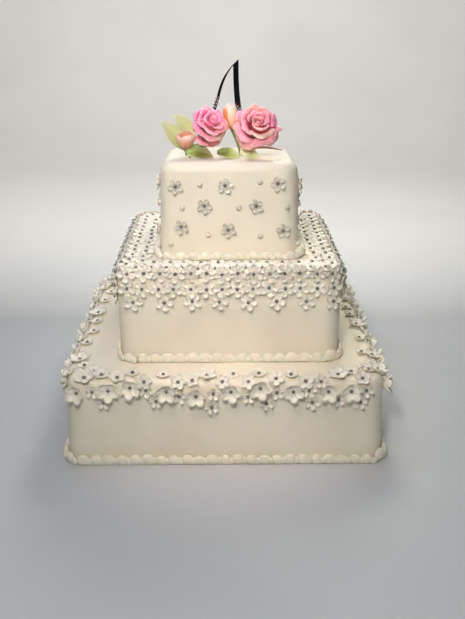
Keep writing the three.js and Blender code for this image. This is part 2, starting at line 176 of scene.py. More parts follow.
class Shader:
    """A Principled material under construction, kept in LOOKS."""

    def __init__(self, name, sockets):
        LOOKS[name] = bpy.data.materials.new(name)
        LOOKS[name].use_nodes = True
        self.tree = LOOKS[name].node_tree
        self.bsdf = self.tree.nodes["Principled BSDF"]
        for socket, value in sockets.items():
            self.bsdf.inputs[socket].default_value = value

    def node(self, kind, inputs=(), **settings):
        made = self.tree.nodes.new(kind)
        for key, value in settings.items():
            setattr(made, key, value)
        for key, value in dict(inputs).items():
            if isinstance(value, bpy.types.NodeSocket):
                self.tree.links.new(value, made.inputs[key])
            else:
                made.inputs[key].default_value = value
        return made

    def noise(self, scale, detail, vector=None):
        """Noise from 0 to 1 with about scale features a metre in the object's own space, or
        over another vector."""
        if vector is None:
            vector = self.node("ShaderNodeTexCoord").outputs["Object"]
        inputs = {"Vector": vector, "Scale": scale, "Detail": detail}
        return self.node("ShaderNodeTexNoise", inputs).outputs["Fac"]

    def attribute(self, name, output):
        return self.node("ShaderNodeAttribute", attribute_name=name).outputs[output]

    def ramp(self, factor, stops):
        """A colour ramp with stops of position and colour code."""
        made = self.node("ShaderNodeValToRGB", {"Fac": factor})
        elements = made.color_ramp.elements
        while len(elements) < len(stops):
            elements.new(0.5)
        for element, (position, code) in zip(elements, stops):
            element.position = position
            element.color = srgb(code)
        return made.outputs["Color"]

    def mix(self, factor, first, second, blend="MIX"):
        """Two colours mixed. A mix node's factor and colours are sockets 0, 6 and 7."""
        inputs = {0: factor, 6: first, 7: second}
        return self.node("ShaderNodeMix", inputs, data_type="RGBA", blend_type=blend).outputs[2]

    def colour(self, socket):
        self.tree.links.new(socket, self.bsdf.inputs["Base Color"])

    def bump(self, height, distance, strength=1.0):
        """Relief of the given height in millimetres, added to what is there already."""
        inputs = {"Height": height, "Distance": distance * MM, "Strength": strength}
        before = self.bsdf.inputs["Normal"].links
        if before:
            inputs["Normal"] = before[0].from_socket
        made = self.node("ShaderNodeBump", inputs)
        self.tree.links.new(made.outputs["Normal"], self.bsdf.inputs["Normal"])

    def vary_roughness(self, factor, low, high):
        inputs = {"Value": factor, "To Min": low, "To Max": high}
        made = self.node("ShaderNodeMapRange", inputs)
        self.tree.links.new(made.outputs["Result"], self.bsdf.inputs["Roughness"])


# Materials that vary over noise. Each row holds the scale and detail of the noise under the
# colours, the colours along it, the scale, detail, least and most of the roughness, reliefs
# by scale, detail, millimetres and strength, and sockets with a value of their own.
GRAINY = {
    # Rolled icing: matt and mottled, with a powdery grain and soft dents.
    "icing": ((14, 4), [(0.3, "E9E0CE"), (0.5, "EFE6D4"), (0.72, "F2EAD9")],
              (60, 3, 0.5, 0.66), [(18, 2, 0.5, 0.35), (900, 3, 0.05, 0.5)],
              {"Subsurface Weight": 0.12, "Subsurface Scale": 0.004}),
    # Piped icing: a little creamier and glossier.
    "border_icing": ((35, 3), [(0.3, "EFE6D2"), (0.7, "F5EEDF")],
                     (90, 2, 0.36, 0.52), [(320, 3, 0.12, 0.5)],
                     {"Subsurface Weight": 0.15, "Subsurface Scale": 0.004}),
    # Silvered sugar balls, dulled and a little patchy.
    "silver_bead": ((700, 2), [(0.35, "7E7B78"), (0.65, "9C9995")],
                    (900, 2, 0.2, 0.36), [], {"Metallic": 1.0}),
    # Sugar pearls, with a faint lustre.
    "sugar_pearl": ((400, 2), [(0.35, "D9D0BD"), (0.65, "E3DAC8")],
                    (500, 2, 0.3, 0.42), [], {"Coat Weight": 0.3, "Coat Roughness": 0.3}),
    "stem": ((120, 3), [(0.3, "6E7436"), (0.7, "96994F")],
             (300, 2, 0.5, 0.65), [(700, 3, 0.15, 0.5)], {}),
    "twig": ((90, 3), [(0.3, "B08A60"), (0.5, "C87C6A"), (0.7, "E4ACA0")],
             (300, 2, 0.55, 0.75), [(600, 3, 0.25, 0.6)], {}),
    # Mirror-polished metal with the faintest smears. Its dark colour is painted reflection,
    # standing in for the dark surroundings it mirrors.
    "polished_metal": ((40, 2), [(0.3, "3A3A40"), (0.7, "4A4A52")],
                       (120, 3, 0.05, 0.14), [], {"Metallic": 1.0}),
    # Small cut clear stones on foil: bright and hard.
    "clear_stone": ((800, 1), [(0.4, "A8ACB2"), (0.6, "ECEEF0")], (900, 1, 0.06, 0.2), [],
                    {"Metallic": 0.6, "Coat Weight": 1.0, "Coat Roughness": 0.03}),
    "floor": ((3, 3), [(0.3, "C6C8CB"), (0.7, "CCCED1")], None, [], {"Roughness": 0.7}),
}


def grainy_material(name):
    """The material of a row of GRAINY."""
    grain, stops, gloss, reliefs, sockets = GRAINY[name]
    shader = Shader(name, sockets)
    shader.colour(shader.ramp(shader.noise(*grain), stops))
    if gloss:
        shader.vary_roughness(shader.noise(*gloss[:2]), *gloss[2:])
    for scale, detail, height, strength in reliefs:
        shader.bump(shader.noise(scale, detail), height, strength)


def blossom_material():
    """Sugar paste: dry and white, each blossom a shade of its own. The dark end of the ramp
    carries painted shade in the blossoms' middles.
    """
    shader = Shader("sugar_blossom", {"Subsurface Weight": 0.08, "Subsurface Scale": 0.002})
    tint = shader.attribute("tint", "Fac")
    shader.colour(shader.ramp(tint, [(0.0, "CBC3B6"), (0.5, "EBE4D8"), (1.0, "F6EFE1")]))
    shader.vary_roughness(shader.noise(300, 3), 0.42, 0.6)
    shader.bump(shader.noise(1100, 3), 0.06, 0.5)


def petal_material(name):
    """Petals and leaves: the colour comes from each point's own shade, with fine streaks
    running from the base to the rim."""
    shader = Shader(name, {
        "Subsurface Weight": 0.1, "Subsurface Radius": (1.0, 0.8, 0.8),
        "Subsurface Scale": 0.001, "Sheen Weight": 0.1,
    })
    streak = shader.noise(1, 3, shader.attribute("streak", "Vector"))
    shade = shader.attribute("shade", "Color")
    deeper = shader.mix(0.15, shade, shade, "MULTIPLY")
    shader.colour(shader.mix(streak, shade, deeper))
    shader.vary_roughness(streak, 0.45, 0.6)
    shader.bump(streak, 0.3, 0.4)
    shader.bump(shader.noise(500, 3), 0.06, 0.4)


# ---------- mesh helpers ----------


def wobble(index, salt):
    """Repeatable unevenness from -1 to 1, the same for the same index and salt."""
    wave = sin(index * 12.9898 + salt * 78.233) * 43758.5453
    return 2 * (wave - floor(wave)) - 1


class Skin:
    """Points and faces of one piece, gathered part by part, with values kept at the points."""

    def __init__(self):
        self.points = []
        self.faces = []
        self.values = {}
        self.count = 0

    def add(self, points, faces, **values):
        points = np.asarray(points, float).reshape(-1, 3)
        self.faces.extend(tuple(corner + self.count for corner in face) for face in faces)
        self.points.append(points)
        for name, value in values.items():
            self.values.setdefault(name, []).append(value.reshape(len(points), -1))
        self.count += len(points)

    def add_sheet(self, grid, thickness, thinned, shade, streak):
        """Adds a closed sheet about a grid, with the grid's colours and its places along and
        across the streaks."""
        points, faces = shell(grid, thickness, thinned)
        shade = np.concatenate([shade, np.ones_like(grid[..., :1])], -1).reshape(-1, 4)
        streak = np.stack([*streak, np.zeros_like(streak[0])], -1).reshape(-1, 3)
        self.add(points, faces, shade=np.tile(shade, (2, 1)), streak=np.tile(streak, (2, 1)))

    def piece(self, node, suffix, slot, smooth=True):
        mesh = bpy.data.meshes.new(f"{node}_{suffix}")
        mesh.from_pydata((np.concatenate(self.points) * MM).tolist(), [], self.faces)
        for name, parts in self.values.items():
            stacked = np.concatenate(parts).astype(np.float32)
            kind, key = {
                1: ("FLOAT", "value"), 3: ("FLOAT_VECTOR", "vector"), 4: ("FLOAT_COLOR", "color"),
            }[stacked.shape[1]]
            mesh.attributes.new(name, kind, "POINT").data.foreach_set(key, stacked.ravel())
        mesh.validate()
        dress(mesh, node, suffix, slot, smooth)


def dress(mesh, node, suffix, slot, smooth):
    """Puts a mesh on the cake in place of a CAD node, in the material of its slot."""
    mesh.polygons.foreach_set("use_smooth", [smooth] * len(mesh.polygons))
    mesh.materials.append(LOOKS[slot])
    made = link(f"{node}_{suffix}", mesh)
    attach(made, "root")
    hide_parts(node)


def numbered(rows, columns, start=0):
    """A grid of point numbers, row by row."""
    return np.arange(start, start + rows * columns).reshape(rows, columns)


def looped(numbers):
    """A grid of point numbers with its first column again at the end."""
    return np.hstack([numbers, numbers[:, :1]])


def quads(numbers):
    """Quads between neighbours in a grid of point numbers."""
    corners = numbers[:-1, :-1], numbers[:-1, 1:], numbers[1:, 1:], numbers[1:, :-1]
    return np.stack(corners, -1).reshape(-1, 4).tolist()


def fan(tip, numbers):
    """Triangles between one point and each two neighbours in a row of point numbers."""
    return [(tip, *pair) for pair in zip(numbers[:-1].tolist(), numbers[1:].tolist())]


def ring_faces(ring_count, ring_size):
    """Quads between rings of equal size, with the two end rings closed."""
    numbers = numbered(ring_count, ring_size)
    return quads(looped(numbers)) + [numbers[0, ::-1].tolist(), numbers[-1].tolist()]


UP = np.array([0.0, 0.0, 1.0])


def unit(vectors):
    return vectors / np.maximum(np.linalg.norm(vectors, axis=-1, keepdims=True), 1e-9)


def turned(turn):
    """What turns points given as rows about +Z."""
    x, y = cos(turn), sin(turn)
    return np.array([[x, y, 0], [-y, x, 0], [0, 0, 1]])


def shell(grid, thickness, thinned):
    """A closed sheet about a grid of points (rows x columns x 3). It thins to a share of its
    thickness at its rim. Returns points and faces."""
    rows, columns = grid.shape[:2]
    normal = unit(np.cross(np.gradient(grid, axis=1), np.gradient(grid, axis=0)))
    thick = np.full((rows, columns, 1), thickness / 2)
    for edge in (np.s_[-1, :], np.s_[:, 0], np.s_[:, -1]):
        thick[edge] *= thinned
    points = np.concatenate([grid + normal * thick, grid - normal * thick]).reshape(-1, 3)
    upper, under = numbered(rows, columns), numbered(rows, columns, rows * columns)
    rim = [(line[0], line[1:, -1], line[-1, -2::-1], line[-2::-1, 0]) for line in (upper, under)]
    rim = np.stack([np.concatenate(line) for line in rim], 1)
    return points, quads(upper) + quads(under[::-1]) + quads(rim)


def through(points, shares):
    """Points on a smooth curve through the given points, at shares from 0 to 1 of the way."""
    points = np.asarray(points, float)
    place = np.clip(np.asarray(shares, float), 0, 1) * (len(points) - 1)
    first = np.minimum(place.astype(int), len(points) - 2)
    t = (place - first)[..., None]
    p1, p2 = points[first], points[first + 1]
    p0 = np.where((first > 0)[..., None], points[np.maximum(first - 1, 0)], 2 * p1 - p2)
    last = (first + 2 < len(points))[..., None]
    p3 = np.where(last, points[np.minimum(first + 2, len(points) - 1)], 2 * p2 - p1)
    return 0.5 * (2 * p1 + (p2 - p0) * t + (2 * p0 - 5 * p1 + 4 * p2 - p3) * t**2
                  + (3 * p1 - p0 - 3 * p2 + p3) * t**3)


def eased(values, shares):
    """Single values on a smooth curve, at shares from 0 to 1 of the way."""
    return through([[value] for value in values], shares)[:, 0]


# ---------- the tiers ----------


def outline(half, radius, distance):
    """A point on a square outline with rounded corners, anticlockwise from the middle of the
    front, and the outward direction there."""
    flat = 2 * (half - radius)
    side = flat + radius * pi / 2
    turns, along = divmod(distance + flat / 2, side)
    bend = max(0.0, along - flat) / radius
    x = min(along, flat) - flat / 2 + radius * sin(bend)
    y = radius - half - radius * cos(bend)
    turn = turns * pi / 2
    angle = turn + bend
    point = np.array([x, y, 0]) @ turned(turn)
    return point, np.array([sin(angle), -cos(angle), 0.0])


def outline_length(half, radius):
    return 8 * (half - radius) + 2 * pi * radius


def sink(tier, point):
    """Lowers a point of a tier that falls towards the back, in proportion to its height."""
    share = tier.fall / tier.height * (point[1] + tier.foot) / (2 * tier.foot)
    lowered = point[2] * (1 - share)
    wider = tier.half(lowered) / tier.half(point[2])
    return np.array([point[0] * wider, point[1] * wider, lowered])


def profile(tier, way):
    """Inset, height and lean on a tier's skin, way millimetres from the middle of its soft
    edge: inwards over the top, or down the wall where way is negative."""
    angle = way / tier.edge + pi / 4
    if angle < 0:
        return 0.0, tier.height + (angle - 1) * tier.edge, 0.0
    if angle > pi / 2:
        return (1 + angle - pi / 2) * tier.edge, tier.height, pi / 2
    inset = tier.edge * (1 - cos(angle))
    return inset, tier.height - tier.edge * (1 - sin(angle)), angle


def on_skin(tier, share, way):
    """The point, the outward direction along the ground and the lean of the skin at a share
    of the way round a tier."""
    inset, height, lean = profile(tier, way)
    half = tier.half(height) - inset
    radius = max(LEAST_CORNER, CORNER - inset)
    point, outward = outline(half, radius, share * outline_length(half, radius))
    point[2] = height
    point = sink(tier, point) + [tier.shift, 0, tier.z]
    return point, outward, lean + tier.lean() * (1 - lean / (pi / 2))


SWELL = 0.5  # how far the icing swells and sinks, in mm
SWELL_SCALE = 0.018  # and how quickly along its surface
SWELL_FREE = 10  # height above its foot from which it does so fully
ICING_AROUND = 240  # points round a tier
ICING_RINGS = 15, 9, 14  # rings up the wall, round the soft edge and in over the top
ICING_HOLE = 2  # half width of the last ring, in the middle of the top


def swell(point, outward):
    """Pushes a point of the icing in or out a little, as hand-smoothed icing is."""
    place = point * SWELL_SCALE
    amount = noise.noise(Vector(place)) + 0.4 * noise.noise(Vector(place * 3))
    return point + outward * SWELL * amount


def tier_body(tier):
    """A smooth closed body: a foot, the walls, the soft edge and the top in square rings."""
    edge = tier.edge * pi / 4
    up, over, across = (np.linspace(0, 1, count) for count in ICING_RINGS)
    ways = [(tier.edge - edge - tier.height) * (1 - share) - edge * share for share in up]
    ways += [edge * (2 * share - 1) for share in over[1:]]
    inner = tier.half(tier.height) - ICING_HOLE - tier.edge
    ways += [edge + inner * share for share in across[1:]]
    rings = []
    for way in ways:
        for k in range(ICING_AROUND):
            point, outward, lean = on_skin(tier, k / ICING_AROUND, way)
            facing = outward * cos(lean) + UP * sin(lean)
            rings.append(swell(point, facing * min(1.0, (point[2] - tier.z) / SWELL_FREE)))
    skin = Skin()
    skin.add(rings, ring_faces(len(ways), ICING_AROUND))
    return skin


# ---------- blossoms, beads and pearls ----------

PETALS = 5
NARROW, FULL = 0.31, 0.41  # radius of the petals of open and of full blossoms
NOTCH = 0.34  # reach of the gaps between narrow petals
ARC_NARROW, ARC_FULL = 0.97, 0.96  # share of a petal's free arc that its outline follows
BACK = 0.97  # reach of a blossom's back
SPOON = 0.14  # how far each petal is hollowed, of the blossom's reach
PASTE = 0.9  # thickness of a blossom's petals
PETAL_POINTS = 9  # points round the free part of each petal
PETAL_STEPS = 6  # and from the middle out to its rim
PAINTED_MIDDLE_SHADE = 0.65  # painted shade: how much darker the colour is made towards a blossom's middle
BEAD = 2.1  # radius of a silver bead
BEAD_OUT = 0.75  # how far its middle stands out, as a share of that
PEARL = 3.0  # radius of a sugar pearl
PEARL_OUT = 0.35  # how far its middle stands out, as a share of that


def blossom_outline(petal_at, petal_round):
    """The outline of a blossom of reach 1, petal by petal: round the free part of each petal's
    circle and in to the notch beside it."""
    half = pi / PETALS
    gap = petal_at * sin(half)
    if petal_round > gap:
        notch = petal_at * cos(half) + sqrt(petal_round**2 - gap**2)
        wide = atan2(notch * sin(half), notch * cos(half) - petal_at) * ARC_FULL
    else:
        notch = NOTCH
        wide = acos(-petal_round / petal_at) * ARC_NARROW
    swing = np.linspace(-wide, wide, PETAL_POINTS)
    petal = np.stack([petal_at + petal_round * np.cos(swing), petal_round * np.sin(swing)], -1)
    petal = np.vstack([petal, [notch * cos(half), notch * sin(half)]])
    return np.vstack([petal @ turned(2 * pi * k / PETALS)[:2, :2] for k in range(PETALS)])


def blossom(reach, cup, petal_round):
    """A cupped blossom with round hollow petals, its back on z = 0 and one petal along +X.
    Returns points and faces of a closed body."""
    petal_at = 1 - petal_round
    rim = blossom_outline(petal_at, petal_round)
    count, steps = len(rim), PETAL_STEPS
    middles = [2 * pi * k / PETALS for k in range(PETALS)]
    middles = petal_at * np.array([[cos(t), sin(t)] for t in middles])
    rings = rim[:, None] * np.linspace(1 / steps, 1, steps)[:, None]
    away = np.linalg.norm(rings[:, :, None] - middles, axis=-1).min(-1) / petal_round
    rise = cup * (rings**2).sum(-1)
    hollow = SPOON * reach * (1 - np.minimum(1, away)**2)
    lifted = np.concatenate([rings * reach, (rise - hollow + SPOON * reach + PASTE)[..., None]], -1)
    under = np.concatenate([rings[:, [-1, 2]] * reach * BACK, rise[:, [-1, 2], None]], -1)
    under[:, 0, 2] += 0.7 * SPOON * reach
    points = np.vstack([[[0, 0, PASTE], [0, 0, 0]], lifted.reshape(-1, 3), under.reshape(-1, 3)])
    rays = np.hstack([numbered(count, steps, 2), numbered(count, 2, 2 + count * steps)])
    rays = np.vstack([rays, rays[:1]])
    return points, quads(rays) + fan(0, rays[:, 0]) + fan(1, rays[::-1, -1])


def ball(radius, segments=12, rings=8):
    """A sphere about the origin. Returns points and faces."""
    tilt, turn = np.meshgrid(pi * np.arange(1, rings) / rings,
                             2 * pi * np.arange(segments) / segments, indexing="ij")
    sides = np.stack([np.sin(tilt) * np.cos(turn), np.sin(tilt) * np.sin(turn), -np.cos(tilt)], -1)
    points = radius * np.vstack([[0, 0, -1], sides.reshape(-1, 3), [0, 0, 1]])
    numbers = looped(numbered(rings - 1, segments, 1))
    faces = quads(numbers) + fan(0, numbers[0, ::-1]) + fan(len(points) - 1, numbers[-1])
    return points, faces


class Decor:
    """Blossoms with their beads, and pearls, gathered for one tier."""

    def __init__(self, tier):
        self.tier = tier
        self.blossoms = Skin()
        self.beads = Skin()
        self.pearls = Skin()
        self.placed = 0

    def pose(self, share, way, tip=0.0):
        """The point on the tier and the axes there: across, up the skin and facing out."""
        point, outward, lean = on_skin(self.tier, share, way)
        facing = outward * cos(lean + tip) + UP * sin(lean + tip)
        across = np.cross(UP, outward)
        return point, np.array([across, np.cross(facing, across), facing])

    def blossom(self, share, way, reach, cup, spin, tone_and_light, petal_round=NARROW, tip=0.0):
        """Sets a blossom with a petal hanging down the wall when spin is 0. The higher its paleness
        value, the paler it is: its own tone, with painted shade in rows set darker and painted
        light in rows set paler than alike blossoms. It is tipped upwards by tip, or outwards where
        that is negative."""
        n = self.placed
        self.placed += 1
        point, axes = self.pose(share, way, tip + 0.05 * wobble(n, 21))
        reach *= 1 + 0.05 * wobble(n, 22)
        points, faces = blossom(reach, cup * (1 + 0.15 * wobble(n, 23)), petal_round)
        spun = points @ turned(spin - pi / 2 + 0.25 * wobble(n, 24))
        # Painted shade: the colour is darkened towards the middle, where the cup is shaded.
        hollow = PAINTED_MIDDLE_SHADE * (1 - np.linalg.norm(points[:, :2], axis=1) / reach)
        self.blossoms.add(point + spun @ axes, faces, tint=tone_and_light + 0.25 * wobble(n, 25) - hollow)
        size = BEAD * (1 + 0.08 * wobble(n, 26))
        middle = [0.3 * wobble(n, 27), 0.3 * wobble(n, 28), PASTE + BEAD_OUT * size]
        points, faces = ball(size)
        self.beads.add(point + (points + middle) @ axes, faces)

    def pearl(self, share, way):
        point, axes = self.pose(share, way)
        points, faces = ball(PEARL, 14, 10)
        self.pearls.add(point + (points + [0, 0, PEARL_OUT * PEARL]) @ axes, faces)

    def place_at(self, x, height, wall):
        """The share and way of a point of a wall, by its place from the wall's middle."""
        length = outline_length(self.tier.half(height), CORNER)
        return x / length + wall / 4, height - self.tier.height + self.tier.edge * (1 - pi / 4)

    def place_in(self, x, inset, wall):
        """The share and way of a point of the top, by its distance in from a wall."""
        tier = self.tier
        radius = max(LEAST_CORNER, CORNER - inset)
        length = outline_length(tier.half(tier.height) - inset, radius)
        angle = acos(1 - inset / tier.edge) if inset < tier.edge else pi / 2
        return x / length + wall / 4, tier.edge * (angle - pi / 4) + max(0.0, inset - tier.edge)


LARGE, MEDIUM, SMALL = 12.0, 9.6, 8.3  # reach of the bottom tier's blossoms
WALL_CUP, TUCKED_CUP = 8.0, 4.0  # rise of the large and small ones' rims on its wall
LEDGE_CUP = 0.36  # the same on its top, as a share of their reach
LEDGE_ROUND = 0.37  # radius of the petals of those on its top
WALL_CREAM = 1.2
LEDGE_CREAM, FRONT_SHADED_CREAM = 1.1, 0.85  # on its top at the back and sides, and in front, where the lower value is painted shade

# Blossoms along the upper edge of the front of the bottom tier, by their place from its
# middle: on the wall by their height, on the top by their distance in from the wall. The
# other sides repeat them with some drift.
BOTTOM_LARGE = [
    (-161, 87), (-127, 90), (-103, 93), (-64, 89), (-32, 83), (6, 88), (38, 92), (74, 88),
    (112, 88), (137, 88),
]
BOTTOM_TUCKED = [
    (-144, 89), (-86, 90), (-50, 83), (-13, 86), (25, 82), (56, 87), (91, 89), (123, 78),
    (153, 89), (-132, 76), (-75, 77), (-15, 70), (45, 74), (95, 75), (147, 75),
]
BOTTOM_LEDGE = [
    (-153, 5, LARGE), (-146, 21, SMALL), (-135, 10, MEDIUM), (-117, 5, MEDIUM), (-102, 15, SMALL),
    (-88, 1, MEDIUM), (-68, 11, SMALL), (-51, 1, MEDIUM), (-36, 2, SMALL), (-20, 8, LARGE),
    (-3, 1, SMALL), (9, 11, SMALL), (25, 1, MEDIUM), (37, 12, SMALL), (55, 3, MEDIUM),
    (72, 9, SMALL), (87, 1, MEDIUM), (104, 1, SMALL), (123, 8, LARGE), (139, 16, SMALL),
    (149, 3, MEDIUM), (163, 15, MEDIUM),
]
DRIFT = 4.0  # how far they stray


def decorate_bottom(decor):
    """Large and small cupped blossoms tucked under the edge, some hanging lower, and a loose
    row of mixed sizes along the top of the edge."""
    for wall in range(4):
        drift = DRIFT if wall else 0.0
        for k, (x, height) in enumerate(BOTTOM_LARGE + BOTTOM_TUCKED):
            share, way = decor.place_at(x + drift * wobble(k, 31 + wall), height, wall)
            spin = 0.7 * wobble(k, 39 + wall)
            if k < len(BOTTOM_LARGE):
                decor.blossom(share, way, LARGE, WALL_CUP, spin, WALL_CREAM, FULL)
            else:
                decor.blossom(share, way, SMALL, TUCKED_CUP, spin, WALL_CREAM)
        # Painted shade: the front row on the top is set darker than the same blossoms elsewhere.
        tone_and_light = LEDGE_CREAM if wall else FRONT_SHADED_CREAM
        for k, (x, inset, size) in enumerate(BOTTOM_LEDGE):
            share, way = decor.place_in(x + drift * wobble(k, 55 + wall), inset + 1, wall)
            spin = 0.7 * wobble(k, 63 + wall)
            tip = -0.15 if inset > 6 else -0.1
            decor.blossom(share, way, size, LEDGE_CUP * size, spin, tone_and_light, LEDGE_ROUND, tip)


MIDDLE_REACH = 10.6  # of the blossoms of the middle tier
MIDDLE_EDGE = MIDDLE.edge * pi / 4

# Rows of the middle tier's blossoms: how many, where the first stands in steps from the
# front's middle, its way from the middle of the soft edge, how much less that is at the
# front, rise of the rims, how far they tip at the front, and paleness. The blossoms are
# alike: the low paleness of the edge row is painted shade, the higher one of the two ledge
# rows painted light.
MIDDLE_ROWS = [
    (56, 0.5, -0.4, 0, 1.7, -0.45, 0.5),
    (56, 0.5, -16.8, 0, 1.7, 0.08, 1.2),
    (31, 0.65, -32.0, 0, 1.7, 0.05, 1.2),
    (52, 0.07, MIDDLE_EDGE + 7, 9, 1.1, -0.2, 1.35),
    (44, 0.27, MIDDLE_EDGE + 21, 5, 1.1, 0.0, 1.35),
]


def decorate_middle(decor):
    """A collar: a full row on the edge and one under it, a looser one below, and two rows on
    the ledge round the top tier, which come nearer the edge at the front."""
    for r, (count, start, way, nearer, cup, tip, tone_and_light) in enumerate(MIDDLE_ROWS):
        for k in range(count):
            share = (k + start + 0.06 * wobble(k, 40 + r)) / count
            front = max(0.0, cos(2 * pi * share)) ** 2
            way_here = way - nearer * front + 0.9 * wobble(k, 50 + r)
            spin = 0.15 * wobble(k, 54 + r)
            decor.blossom(share, way_here, MIDDLE_REACH, cup, spin, tone_and_light, tip=tip * front)


TOP_REACH, TOP_CUP = 9.2, 2.3  # reach of the top tier's blossoms and rise of their rims
TOP_CREAM = 0.5
TOP_DRIFT = 3.0

# Blossoms and pearls of the front wall of the top tier, from its middle and its foot. The
# other walls repeat them with some drift.
TOP_BLOSSOMS = [
    (-60, 83.6), (-5, 84.5), (53.4, 86.6), (-28.4, 62.1), (29.4, 61.9), (-54.6, 38.1),
    (-1.8, 34.4), (60.2, 33.6),
]
TOP_PEARLS = [
    (-33, 85.5), (33.6, 88.7), (-53, 59.6), (10, 59.4), (64, 59.9), (-24.4, 28.4),
    (34.4, 27), (-66.4, 17.9),
]


def decorate_top(decor):
    for wall in range(4):
        drift = TOP_DRIFT if wall else 0.0

        def place(k, x, height, salt):
            x += drift * wobble(k, salt + wall)
            return decor.place_at(x, height + drift * wobble(k, salt + 4 + wall), wall)

        for k, (x, height) in enumerate(TOP_BLOSSOMS):
            spin = 0.5 * wobble(k, 68 + wall)
            decor.blossom(*place(k, x, height, 60), TOP_REACH, TOP_CUP, spin, TOP_CREAM)
        for k, (x, height) in enumerate(TOP_PEARLS):
            decor.pearl(*place(k, x, height, 72))


def add_tier(tier, decorate):
    node = tier.name + "_tier"
    tier_body(tier).piece(node, "icing", "icing")
    decor = Decor(tier)
    decorate(decor)
    decor.blossoms.piece(node, "blossoms", "sugar_blossom")
    decor.beads.piece(node, "beads", "silver_bead")
    if decor.pearls.count:
        decor.pearls.piece(node, "pearls", "sugar_pearl")


# ---------- piped borders ----------

LAST_PEARL = 1.22  # size of the last pearl piped, at the right front corner
SUNK = 0.4  # how far the pearls are pressed onto what they stand on

# The two bodies of a piped pearl, its head and its tail: how far ahead each lies and its
# half length, as shares of the pitch, and its size across.
PEARL_BODIES = [(0.0, 0.47, 1.0), (0.45, 0.4, 0.72)]

# Borders: how far out and up the pearls reach, and how many they are.
BORDERS = [(BOTTOM, 6.8, 11.5, 96), (MIDDLE, 6.0, 11, 68), (TOP, 8.0, 9.5, 44)]


def add_border(tier, reach, rise, count):
    """Plump piped pearls side by side round a tier's foot, each with a tail under the next."""
    length = outline_length(tier.foot, CORNER)
    pitch = length / count
    points, faces = ball(1.0, 16, 10)
    faces = [face[::-1] for face in faces]
    skin = Skin()
    for k in range(count):
        share = (k + 0.06 * wobble(k, 80)) / count
        point, outward = outline(tier.foot, CORNER, share * length)
        across = np.cross(UP, outward)
        grow = LAST_PEARL if k == round(count / 8) else 1 + 0.07 * wobble(k, 81)
        axes = np.array([across, outward, UP])
        for ahead, long, plump in PEARL_BODIES:
            size = np.array([pitch * long, reach * 0.5 * plump, rise * 0.54 * plump]) * grow
            out = GAP + reach * (0.5 + 0.5 * plump) - size[1]
            centre = point + across * pitch * ahead + outward * out
            centre += [tier.shift, 0, tier.z + size[2] - SUNK]
            placed = centre + points * size @ axes
            placed[:, 2] = np.maximum(placed[:, 2], tier.z + 0.02)
            skin.add(placed, faces)
    skin.piece(tier.name + "_border", "piping", "border_icing")


# ---------- roses and buds ----------


def grid_shares(start, columns, rows):
    """Shares across a sheet, from start to 1, and along it, from 0 to 1."""
    return np.meshgrid(np.linspace(start, 1, columns), np.linspace(0, 1, rows))


def flower_axes(turn, lift):
    """Axes of a flower turned from the front about the upright, then lifted: sideways,
    upwards and the way it faces."""
    flat = cos(lift)
    facing = unit(np.array([sin(turn) * flat, -cos(turn) * flat, sin(lift)]))
    side = unit(np.cross(UP, facing))
    return np.array([side, np.cross(facing, side), facing])


PETAL_GRID = 21, 17  # points across a petal and along it
PETAL_THICKNESS, HEART_THICKNESS = 0.55, 0.6
PETAL_RIM = 0.35  # thickness of its rim, as a share of that
OVERLAP = 0.07  # how far one side of a petal stands out over the next
PALE = 0.25  # how far a petal's rim takes the colour RIM
HEART_GRID = 60, 8


class Flower:
    """Petals about an axis. Lengths are shares of the flower's radius and height. Petals are
    placed by angle: 0 to the right as the flower is looked into, 90 up."""

    def __init__(self, at, turn, lift, radius, height, ruffle, salt):
        self.at = np.array(at, float)
        self.axes = flower_axes(turn, lift)
        self.size = [radius, radius, height]
        self.ruffle = ruffle
        self.salt = salt
        self.skin = Skin()

    def keep(self, grid, across, along, thickness, shades):
        """Adds a petal from its grid in the flower's shares, coloured from base to rim."""
        shade = through(shades, along)
        edge = np.maximum(along, 0.55 + 0.45 * np.abs(across) * along)
        rim = PALE * np.clip((edge - 0.86) / 0.14, 0, 1)[..., None]
        shade = shade * (1 - rim) + RIM * rim
        placed = self.at + grid * self.size @ self.axes
        streak = across * 7 + self.salt * 3, along * 1.2
        self.skin.add_sheet(placed, thickness, PETAL_RIM, shade, streak)

    def petal(self, form, degrees, spread, shades, tip=0.0):
        """One petal: spread is the half angle at its widest, and tip is how far its middle is
        drawn out."""
        n = self.salt
        self.salt += 1
        across, along = grid_shares(-1, *PETAL_GRID)
        width = 0.5 + 0.5 * np.sin(pi / 2 * np.minimum(1, along / 0.6))
        reach = along * (1 - 0.2 * across**2 * along**2)
        grow = 1 + 0.06 * wobble(n, 2)
        line = through([(r * (1 + 0.05 * wobble(n, 3)), h * grow) for r, h in form], reach)
        # Two slow waves ruffle the rim.
        wave = np.sin(4.1 * across + 3 * wobble(n, 1))
        wave += 0.5 * np.sin(8.3 * across + 3 * wobble(n, 5))
        wave *= self.ruffle * along**3
        arm = line[..., 0] * (1 + wave) + OVERLAP * across * along
        arm += tip * np.exp(-(across / 0.3) ** 2) * along**5
        turn = radians(degrees) + 0.08 * wobble(n, 4) + spread * width * across
        height = line[..., 1] + 0.5 * wave
        grid = np.stack([arm * np.cos(turn), arm * np.sin(turn), height], -1)
        self.keep(grid, across, along, PETAL_THICKNESS, shades)

    def heart(self, turns, inner, outer, low, high, shades, aside=(0.0, 0.0)):
        """A rolled petal: one sheet wound in a spiral from an inner to an outer radius, from
        low to high, with its middle set aside."""
        across, along = grid_shares(0, *HEART_GRID)
        turn = across * turns * 2 * pi
        arm = inner + (outer - inner) * across + 0.04 * along**2
        top = high - 0.1 * across * (high - low)
        height = low + (top - low) * along + 0.02 * np.sin(3 * turn) * along
        x, y = aside[0] + arm * np.cos(turn), aside[1] + arm * np.sin(turn)
        grid = np.stack([x, y, height], -1)
        self.keep(grid, across * 3, along, HEART_THICKNESS, shades)


def shades(*codes):
    return [srgb(code)[:3] for code in codes]


